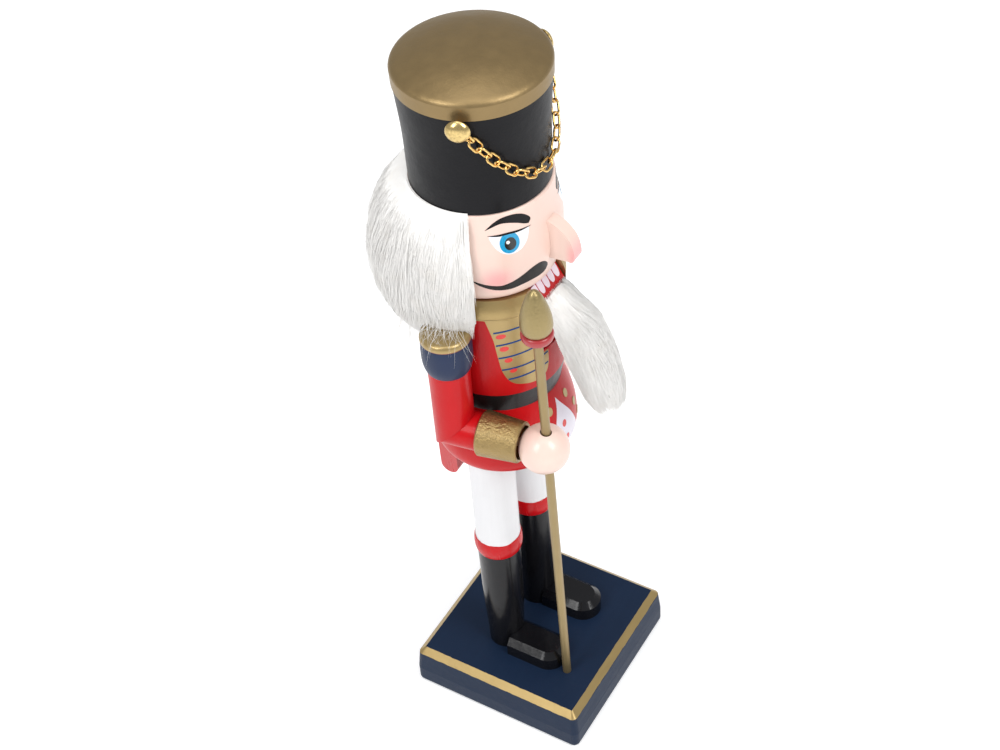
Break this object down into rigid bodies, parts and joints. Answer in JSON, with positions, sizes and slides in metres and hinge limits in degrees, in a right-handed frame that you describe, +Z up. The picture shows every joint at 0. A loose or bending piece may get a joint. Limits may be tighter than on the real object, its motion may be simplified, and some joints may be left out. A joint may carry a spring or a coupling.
{
  "type": "nutcracker figure",
  "caption": "Standing wooden nutcracker soldier on a square base, with a lever jaw, a lift-out staff, fur hair and beard and a chain on the hat.",
  "frame": {"origin": "centre of the base board's underside", "axes": "+Z up along the figure, the figure faces -Y, +X is the figure's left"},
  "size_m": [0.1087, 0.1147, 0.3783],
  "materials": {
    "navy_paint": "satin navy lacquer on wood, gold painted top chamfer",
    "leg_paint": "lacquered wood: white trousers, red knee band, black boots",
    "black_gloss": "black gloss lacquer on wood",
    "hat_paint": "black satin lacquer, gold band and crown, on wood",
    "red_paint": "red gloss lacquer on wood with painted coat details",
    "gold_paint": "satin gold lacquer on wood",
    "sleeve_paint": "red gloss lacquer on wood, navy shoulder cap",
    "skin_paint": "pale pink satin lacquer on wood",
    "bare_wood": "untreated beech dowel",
    "white_fur": "long white faux fur",
    "gilt_brass": "polished gilt brass",
    "steel_pin": "plain steel pin"
  },
  "bodies": {
    "figure": {"base_board": "navy_paint", "leg_right": "leg_paint", "leg_left": "leg_paint", "shoe_right": "black_gloss", "shoe_left": "black_gloss", "torso": "red_paint", "head": "skin_paint", "nose": "skin_paint", "neck_dowels": "bare_wood", "hat": "hat_paint", "hat_dowel": "bare_wood", "lever_pin": "steel_pin", "upper_arm_right": "sleeve_paint", "forearm_right": "red_paint", "cuff_right": "gold_paint", "hand_right": "skin_paint", "upper_arm_left": "sleeve_paint", "forearm_left": "red_paint", "cuff_left": "gold_paint", "hand_left": "skin_paint", "epaulette_right": "gold_paint", "epaulette_left": "gold_paint", "shoulder_dowels": "bare_wood", "elbow_dowels": "bare_wood", "hand_dowels": "bare_wood", "hat_tacks": "gilt_brass", "hair": "white_fur"},
    "jaw": {"jaw_lever": "red_paint", "beard": "white_fur"},
    "staff": {"staff_rod": "gold_paint", "staff_ring": "red_paint", "staff_finial": "gold_paint"},
    "chain": {"hat_chain": "gilt_brass"}
  },
  "joints": [
    {"name": "jaw_hinge", "type": "hinge", "parent": "figure", "child": "jaw", "pos_m": [0, 0.011, 0.234], "axis": [1, 0, 0], "range_deg": [0, 18]},
    {"name": "staff_lift", "type": "slide", "parent": "figure", "child": "staff", "axis": [-0.0556, -0.0155, 0.9983], "range_m": [0, 0.16]},
    {"name": "chain_swing", "type": "hinge", "parent": "figure", "child": "chain", "pos_m": [0, -0.00026, 0.3616], "axis": [-1, 0, 0], "range_deg": [0, 12]}
  ]
}
